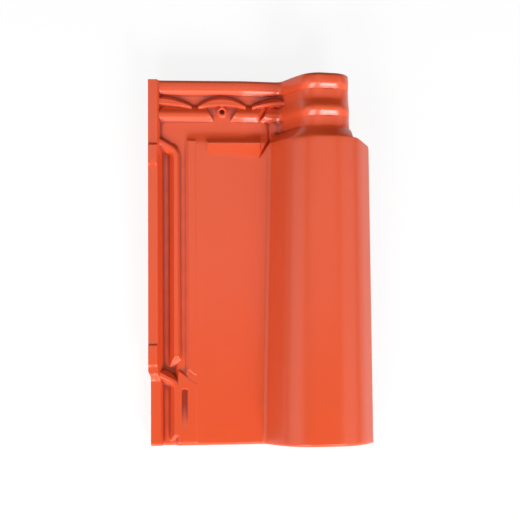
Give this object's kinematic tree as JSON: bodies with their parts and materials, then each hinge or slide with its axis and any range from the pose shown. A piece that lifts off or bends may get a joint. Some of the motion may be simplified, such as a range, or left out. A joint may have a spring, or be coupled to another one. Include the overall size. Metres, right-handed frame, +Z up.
{
  "type": "clay roof tile",
  "caption": "Interlocking clay roof tile with a flat pan, a round roll, side and head locks, nibs and a nail hole.",
  "frame": {"origin": "centre of the bounding box at the level of the floor that the tile lies on", "axes": "+Y from the tail to the head, +X from the side lock to the roll, +Z up; the tile is pitched by its resting slope about X"},
  "size_m": [0.2684, 0.4409, 0.0735],
  "materials": {
    "glazed_clay": "gloss"
  },
  "bodies": {
    "root": {"clay_tile": "glazed_clay"}
  },
  "joints": []
}
